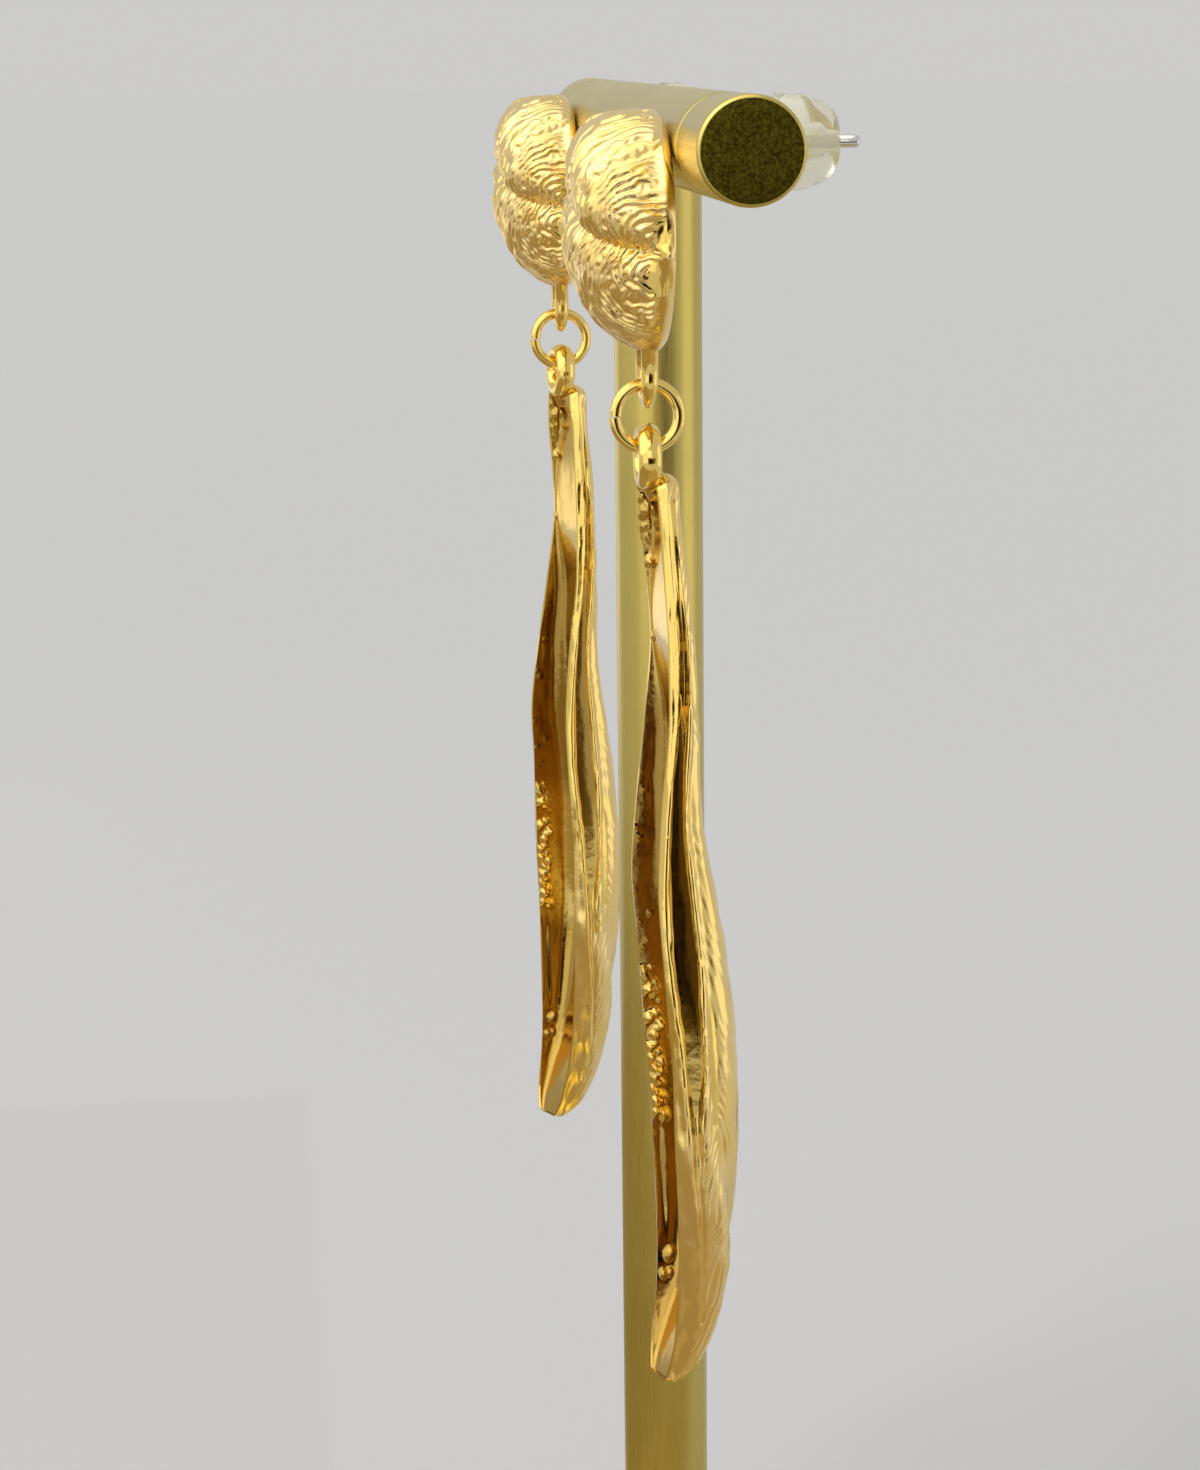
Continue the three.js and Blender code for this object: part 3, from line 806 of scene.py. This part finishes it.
# far, near and back are places along Y from the hanging line; half is half the width,
# hollow the open front's depth, lip the width of the near rim's outer band, and the
# channel beside it is channel deep and ends channel_end from the near rim. valley is
# the place over the convex side (0 near, 1 far) of the groove between the two lobes.
DROP_COLUMNS = ("down", "half", "far", "near", "back", "hollow", "lip", "channel",
                "channel_end", "valley")
DROP_SECTIONS = [dict(zip(DROP_COLUMNS, row)) for row in (
    (20.75, 1.5, -0.6, 0.6, 1.7, 0.35, 0.45, 0.0, 1.1, 0.75),
    (24.0, 2.1, -0.42, 0.66, 1.85, 0.9, 0.42, 0.1, 1.05, 0.62),
    (28.2, 2.5, 0.12, 0.82, 2.5, 0.3, 0.5, 0.28, 1.2, 0.4),
    (32.0, 2.8, 0.4, 1.0, 2.9, 0.2, 0.6, 0.5, 1.3, 0.3),
    (37.0, 3.1, 0.0, 0.98, 2.95, 1.5, 0.46, 0.75, 1.35, 0.26),
    (42.5, 3.5, -0.5, 0.42, 3.05, 2.2, 0.4, 0.95, 1.6, 0.24),
    (48.0, 4.0, -0.85, 0.1, 4.0, 3.0, 0.4, 1.1, 2.3, 0.22),
    (53.0, 4.5, -0.4, 0.35, 4.85, 3.6, 0.34, 1.1, 2.5, 0.2),
    (59.0, 5.0, 0.0, 0.8, 5.4, 3.8, 0.6, 0.85, 2.1, 0.2),
    (65.0, 5.3, 0.5, 0.95, 5.5, 3.6, 0.85, 0.35, 1.8, 0.22),
    (71.5, 4.9, 0.75, 1.2, 5.15, 2.8, 1.25, 0.12, 1.75, 0.36),
    (77.0, 3.9, 0.65, 1.25, 4.35, 1.7, 1.35, 0.06, 1.75, 0.55),
    (81.0, 2.5, 0.05, 0.95, 2.9, 0.6, 0.95, 0.0, 1.3, 0.7),
    (82.8, 1.25, -0.15, 0.65, 1.25, 0.05, 0.4, 0.0, 0.9, 0.75),
)]
DROP_RIM = 0.42
BEVEL_SHARE = 0.58
RIM_LEAST = 0.14
SECTION_FULLNESS = 0.75
HOLLOW_FULLNESS = 0.42
OUTER_STEPS = 150
INNER_STEPS = 76
DROP_STATIONS = 424
HATCH_PITCH = 0.52
HATCH_HEIGHT = 0.15
LOBE_SATIN = 0.62
EYE_RADIUS = 1.6
EYE_WIRE = 0.58
EYE_WIDER = 1.3
LINK_GAP = 0.1
TOP_ROUND = 0.9
TIP_ROUND = 0.35
# Stretches of the hollow with beads left from casting: from, to, count, size and height.
CAST_BEADS = [
    (21.3, 29.0, 46, 0.2, 0.18),
    (28.5, 33.5, 5, 0.2, 0.2),
    (40.0, 54.0, 9, 0.16, 0.1),
    (55.0, 66.0, 80, 0.19, 0.26),
    (75.0, 77.0, 4, 0.26, 0.2),
]


def drop_section(down):
    """Every column of the table at each depth below the bar's axis."""
    names = DROP_SECTIONS[0].keys()
    return {name: read_table(DROP_SECTIONS, "down", name, down) for name in names}


def drop_shell(down, angle, inside, s):
    """Points of the drop's smooth form: angle runs from the near rim (0) to the far (pi)."""
    cosine, sine = np.cos(angle), np.sin(angle)
    bevelled = np.maximum(DROP_RIM, BEVEL_SHARE * s["lip"] + RIM_LEAST)
    half = s["half"] - (np.where(cosine > 0, bevelled, DROP_RIM) if inside else 0)
    fullness = HOLLOW_FULLNESS if inside else SECTION_FULLNESS
    x = half * np.sign(cosine) * np.abs(cosine) ** fullness
    middle = (s["near"] + s["far"]) / 2
    rim = middle + (s["near"] - s["far"]) / 2 * x / s["half"]
    depth = s["hollow"] if inside else s["back"] - middle
    y = rim + depth * np.abs(sine) ** fullness
    over = y - rim
    if not inside:
        edge = np.where(cosine > 0, s["lip"], 0.3)
        bevel = BEVEL_SHARE * edge * np.clip(1 - over / edge, 0, 1)
        place = np.clip((over - s["lip"]) / np.maximum(s["channel_end"] - s["lip"], 0.05), 0, 1)
        trough = s["channel"] * np.sin(math.pi * place) ** 1.4
        x = x - np.where(cosine > 0, trough + bevel, -bevel)
    return np.stack([x, y, np.broadcast_to(-down, x.shape)], axis=-1), over


def speckle(points, spots):
    """A sum of small round bumps; spots lists (x, y, z, size, height)."""
    total = np.zeros(points.shape[:-1])
    for x, y, z, size, height in spots:
        far = ((points - [x, y, z]) ** 2).sum(axis=-1) / size ** 2
        total += height * np.exp(-far)
    return total


def hollow_marks(seed):
    """The casting's beads on the hollow's far wall, as spots for speckle."""
    random = np.random.default_rng(seed)
    spots = []
    for low, high, count, size, height in CAST_BEADS:
        for down in random.uniform(low, high, count):
            here = drop_section(down)
            share = random.uniform(0.0, 1.0)
            y = here["far"] + 0.1 + share * (here["near"] - here["far"] + 0.4)
            x = -here["half"] + DROP_RIM + 0.1 * share
            wide = size * random.uniform(0.7, 1.3)
            spots.append((x, y, -down, wide, height * random.uniform(0.6, 1.2)))
    return spots


def drop_angles():
    """Angles of the outer and the inner points of each station, crowded at the rims."""
    even = np.linspace(0, 1, OUTER_STEPS)
    outer = math.pi * (even - 0.075 * np.sin(TAU * 2 * even) / 2)
    spread = np.linspace(1, -1, INNER_STEPS)
    spread = np.sign(spread) * (1 - (1 - np.abs(spread)) ** (1 / HOLLOW_FULLNESS))
    inner = math.pi / 2 * (1 + spread)
    return (np.broadcast_to(outer, (DROP_STATIONS, OUTER_STEPS)),
            np.broadcast_to(inner, (DROP_STATIONS, INNER_STEPS)))


def hatching(outer, length, share, down, s, seed):
    """Slanted strokes on the convex side, leaning the other way past the valley."""
    slant = length + 0.36 * down * np.where(share > s["valley"], -1, 1)
    wander = 0.5 * noise(outer, 3.0, seed) + 0.22 * noise(outer * [1, 1, 0.4], 0.8, seed + 1)
    wave = 0.5 + 0.5 * np.sin(TAU * (slant + wander) / HATCH_PITCH)
    strength = 0.35 + 0.65 * smoothstep(down, 54, 70)
    strength = strength * (0.6 + 0.4 * noise(outer * [1, 1, 0.4], 1.4, seed + 2))
    return HATCH_HEIGHT * (wave - 0.5) * strength


def outer_height(outer, over, edge, satin, down, s, seed):
    """How far the outer skin stands out: hatching, the lobes' valley and cast dents."""
    steps = np.linalg.norm(np.diff(outer, axis=1, prepend=outer[:, :1]), axis=-1)
    length = np.cumsum(steps, axis=1)
    share = length / length[:, -1:]
    valley = np.exp(-(((share - s["valley"]) / 0.06) ** 2)) * smoothstep(down, 22, 27)
    valley = valley * smoothstep(over - edge, 0, 0.8) * (1 - smoothstep(down, 79, 82.5))
    dents = noise(outer * [1, 1, 0.3], 1.3, seed + 3) * 0.07
    dents = dents + noise(outer * [1, 1, 0.35], 0.5, seed + 4) * 0.025
    dents = dents * (1 + 0.8 * (1 - satin))
    melted = smoothstep(down, 50, 66) * (1 - satin) * noise(outer * [1, 1, 0.55], 0.8, seed + 6) * 0.12
    height = hatching(outer, length, share, down, s, seed) * satin - 0.45 * valley
    height = height + (dents + melted) * smoothstep(over, 0.0, 0.35)
    return height + 0.05 * noise(outer, 2.2, seed + 7) * satin


def roughened_hollow(inner, down, s, seed):
    """The hollow's points with its cast beads, one long blister and a ripple."""
    blister = np.exp(-(((down - 70.5) / 3.2) ** 4 + ((inner[..., 1] - s["far"] - 0.35) / 0.3) ** 4))
    lift = speckle(inner, hollow_marks(seed)) - 0.1 * blister * (inner[..., 0] < 0)
    ripple = noise(inner * [1, 1, 0.3], 1.2, seed + 5) * 0.05
    return inner + np.stack([lift + 0.4 * ripple, 0.3 * lift + ripple, 0 * ripple], axis=-1)


def hollow_painted_shade(down):
    """How much painted shade darkens the hollow's colour: less where it is open to the light."""
    upper_bright = (1 - smoothstep(down, 34, 37)) * (0.45 + 0.55 * smoothstep(down, 26, 29))
    lower_bright = smoothstep(down, 54, 57) * (1 - smoothstep(down, 66, 68))
    return 1 - 0.85 * np.maximum(upper_bright, lower_bright)


def drop_points(seed):
    """The drop's skin as a wrapped grid of points, with its satin marks and its marks of painted shade
    in the hollow.
    """
    first, last = DROP_SECTIONS[0]["down"], DROP_SECTIONS[-1]["down"]
    down = np.linspace(first, last, DROP_STATIONS)[:, None]
    s = drop_section(down)
    outer_angle, inner_angle = drop_angles()
    outer, over = drop_shell(down, outer_angle, False, s)
    inner, _ = drop_shell(down, inner_angle, True, s)

    near_side = np.cos(outer_angle) > 0
    edge = np.where(near_side, np.where(s["channel"] > 0.05, s["channel_end"], s["lip"]), 0.5)
    satin = smoothstep(over - edge, -0.15, 0.15) * smoothstep(down, first, first + 0.5)
    normal = grid_normals(outer)
    normal = normal * np.sign((normal * (outer - [0, 2.0, 0]) * [1, 1, 0]).sum())
    outer = outer + normal * outer_height(outer, over, edge, satin, down, s, seed)[..., None]
    inner = roughened_hollow(inner, down, s, seed)
    skin = np.concatenate([outer, inner], axis=1)

    matte = satin * (LOBE_SATIN + (1 - LOBE_SATIN) * smoothstep(down, 62, 68))
    matte = np.maximum(matte, 0.8 * smoothstep(down, 57, 66) * near_side)
    satin_marks = np.concatenate([matte, np.zeros(inner.shape[:2])], axis=1)
    # Painted shade: the hollow is darkened, less where it is open to the light.
    painted_shade_level = np.broadcast_to(hollow_painted_shade(down), inner.shape[:2])
    painted_shade_marks = np.concatenate([np.zeros(outer.shape[:2]), painted_shade_level], axis=1)
    return round_ends(skin, down), satin_marks, painted_shade_marks


def round_ends(skin, down):
    """Draws the first and last stations in, so that both ends of the drop are domed."""
    first, last = down[0, 0], down[-1, 0]
    top = np.clip(1 - (down - first) / TOP_ROUND, 0, 1)
    tip = np.clip(1 - (last - down) / TIP_ROUND, 0, 1)
    kept = np.sqrt(np.maximum(1 - top ** 2, 0.0)) * np.sqrt(np.maximum(1 - tip ** 2 * 0.6, 0.0))
    kept = np.maximum(kept, 0.08)[..., None]
    middle = skin.mean(axis=1, keepdims=True)
    drawn = middle + (skin - middle) * kept
    drawn[..., 2] = skin[..., 2]
    return drawn


def eye_ring(centre_down, sides=24, steps=72):
    """The drop's eye: a round loop, wider front to back than it is thick."""
    turn = np.arange(steps) / steps * TAU
    angle = np.arange(sides) / sides * TAU
    out = EYE_RADIUS + EYE_WIRE * np.cos(angle)[None, :]
    x = out * np.cos(turn)[:, None]
    z = out * np.sin(turn)[:, None] - centre_down
    y = np.broadcast_to(EYE_WIRE * EYE_WIDER * np.sin(angle), x.shape)
    points = np.stack([x, y, z], axis=-1).reshape(-1, 3)
    rows = grid_faces(steps + 1, sides, wrap=True)
    return points, [[i % len(points) for i in face] for face in rows]


def make_drop(side, hang, material, wire_material, seed):
    low, high = box_mm(f"{side}_jump_ring")
    wire = (high[0] - low[0]) / 2
    ring_centre = (low + high) / 2
    pivot = np.array([ring_centre[0], ring_centre[1], low[2] + wire])
    pivot_down = BAR_AXIS - pivot[2]
    eye_down = pivot_down - (wire + EYE_WIRE + LINK_GAP) + EYE_RADIUS

    skin, satin, painted_shade = drop_points(seed)
    rows, columns = skin.shape[:2]
    points = skin.reshape(-1, 3)
    faces = grid_faces(rows, columns, wrap=True)
    top, bottom = points[:columns].mean(axis=0), points[-columns:].mean(axis=0)
    faces += fan(list(range(columns)), len(points))
    faces += fan(list(range((rows - 1) * columns, rows * columns)), len(points) + 1)
    points = np.concatenate([points, [top, bottom]])
    marks = {"satin": np.append(satin, [0, 0]), "painted_shade": np.append(painted_shade, [0, 0])}

    eye_points, eye_faces = eye_ring(eye_down)
    leaf = make_mesh(f"{side}_drop_leaf", place(points, pivot, pivot_down, hang), faces,
                     material, marks=marks)
    fix_facing(leaf)
    eye = make_mesh("eye", place(eye_points, pivot, pivot_down, hang), eye_faces, wire_material)
    fix_facing(eye)
    boolean(leaf, eye, "UNION")
    leaf.data.set_sharp_from_angle(angle=math.radians(62))
    finish_piece(leaf, f"{side}_drop", f"{side}_pendant")


def place(points, pivot, pivot_down, hang):
    """Moves the drop's own points to where it hangs, turned and swung about its pivot."""
    moved = np.asarray(points) + [0, 0, pivot_down]
    turn, swing = math.radians(hang["turn"]), math.radians(hang["swing"])
    turned_x = moved[:, 0] * math.cos(turn) - moved[:, 1] * math.sin(turn)
    turned_y = moved[:, 0] * math.sin(turn) + moved[:, 1] * math.cos(turn)
    y = turned_y * math.cos(swing) - moved[:, 2] * math.sin(swing)
    z = turned_y * math.sin(swing) + moved[:, 2] * math.cos(swing)
    return np.stack([turned_x, y, z], axis=-1) + pivot


# ---- Stage and light -------------------------------------------------------------------


def make_floor():
    size = 9000
    corners = [(-size, -size, 0), (size, -size, 0), (size, size, 0), (-size, size, 0)]
    floor = make_mesh("floor", corners, [[0, 1, 2, 3]], floor_paint())


def soft_sun(name, azimuth, elevation, spread, strength, colour=(1, 1, 1)):
    """A wide, even, distant softbox; azimuth is from +X towards +Y, in degrees."""
    data = bpy.data.lights.new(name, "SUN")
    data.angle = math.radians(spread)
    data.energy = strength
    data.color = colour
    light = bpy.data.objects.new(name, data)
    a, e = math.radians(azimuth), math.radians(elevation)
    towards = Vector((math.cos(a) * math.cos(e), math.sin(a) * math.cos(e), math.sin(e)))
    light.rotation_euler = towards.to_track_quat("Z", "Y").to_euler()
    light.location = towards
    bpy.context.scene.collection.objects.link(light)


def reflection_card(name, corners, shade):
    """A glowing or dark card that only reflections see, as a studio's boards and flags."""
    n = Nodes(name)
    n.set(Base_Color=(0, 0, 0, 1), Roughness=1.0, Specular_IOR_Level=0.0)
    n.set(Emission_Color=(*shade, 1), Emission_Strength=1.0)
    card = make_mesh(name, corners, [[0, 1, 2, 3]], n.material)
    for ray in ("camera", "diffuse", "transmission", "shadow", "volume_scatter"):
        setattr(card, f"visible_{ray}", False)


BACKDROP = (0.605, 0.600, 0.594, 1)
SKY = (0.60, 0.605, 0.61, 1)


def make_world():
    """An even pale room; what the camera sees of it matches the floor."""
    world = bpy.data.worlds.new("studio")
    world.use_nodes = True
    tree = world.node_tree
    background = tree.nodes["Background"]
    sight = tree.nodes.new("ShaderNodeLightPath")
    mix = tree.nodes.new("ShaderNodeMix")
    mix.data_type = "RGBA"
    mix.inputs["A"].default_value = SKY
    mix.inputs["B"].default_value = BACKDROP
    tree.links.new(sight.outputs["Is Camera Ray"], mix.inputs["Factor"])
    tree.links.new(mix.outputs["Result"], background.inputs["Color"])
    bpy.context.scene.world = world


def standing(x0, y0, x1, y1, low, high):
    """The corners of an upright card between two places on the floor."""
    return [(x0, y0, low), (x1, y1, low), (x1, y1, high), (x0, y0, high)]


def flat(x0, x1, y0, y1):
    """The corners of a card that lies on the floor."""
    return [(x0, y0, 0.5), (x1, y0, 0.5), (x1, y1, 0.5), (x0, y1, 0.5)]


def make_studio():
    make_world()
    make_floor()
    soft_sun("key_box", -70, 48, 34, 2.3, (1.0, 0.97, 0.92))
    room, black = (0.14, 0.09, 0.024), (0.004, 0.003, 0.002)
    table, mat = (0.44, 0.35, 0.2), (0.36, 0.28, 0.16)
    window, front = (1.5, 1.46, 1.36), (1.3, 1.26, 1.16)
    left, right = (1.1, 1.07, 1.0), (1.1, 1.08, 1.04)
    reflection_card("flag_room", standing(330, -110, 330, 230, 0, 105), room)
    reflection_card("mat_front", flat(34, 150, -25, 110), table)
    reflection_card("mat_left", flat(-170, 150, -270, -25), mat)
    reflection_card("flag_camera", standing(320, -75, 320, 45, 30, 105), black)
    reflection_card("flag_legs_left", standing(318, -40, 318, 12, 0, 85), black)
    reflection_card("flag_legs_right", standing(318, 52, 318, 84, 0, 85), black)
    reflection_card("window_front", standing(335, -210, 335, 40, 125, 260), front)
    reflection_card("board_back", standing(-300, -270, -390, -110, 0, 115), left)
    reflection_card("board_left", standing(325, -120, 150, -290, 25, 190), left)
    reflection_card("board_right", standing(160, 250, -20, 300, 0, 230), right)
    overhead = [(-120, -360, 110), (320, -265, 150), (320, 90, 460), (-120, 90, 460)]
    reflection_card("window", overhead, window)


# ---- Assembly ----------------------------------------------------------------------------


# Both earrings come from one mould, so they share a seed.
CASTING_SEED = 40


def main():
    bpy.context.scene.view_settings.view_transform = "Standard"
    make_camera()
    bar_gold = stand_gold("bar_gold", (30, 1, 1))
    make_base(stand_gold("base_gold", (1, 1, 1)))
    make_pole(stand_gold("pole_gold", (1, 1, 30)))
    make_bar(bar_gold)
    make_caps(bar_gold, end_face_painted_shade_gold())
    gold = casting_gold("casting_gold")
    wire_gold = ring_gold()
    silver = post_silver()
    silicone = clear_silicone()
    for side, hang in SIDES.items():
        make_stud(side, gold, wire_gold, CASTING_SEED)
        make_post(side, silver)
        make_clutch(side, silicone)
        make_ring(side, wire_gold)
        make_drop(side, hang, gold, wire_gold, CASTING_SEED)
    make_studio()


main()
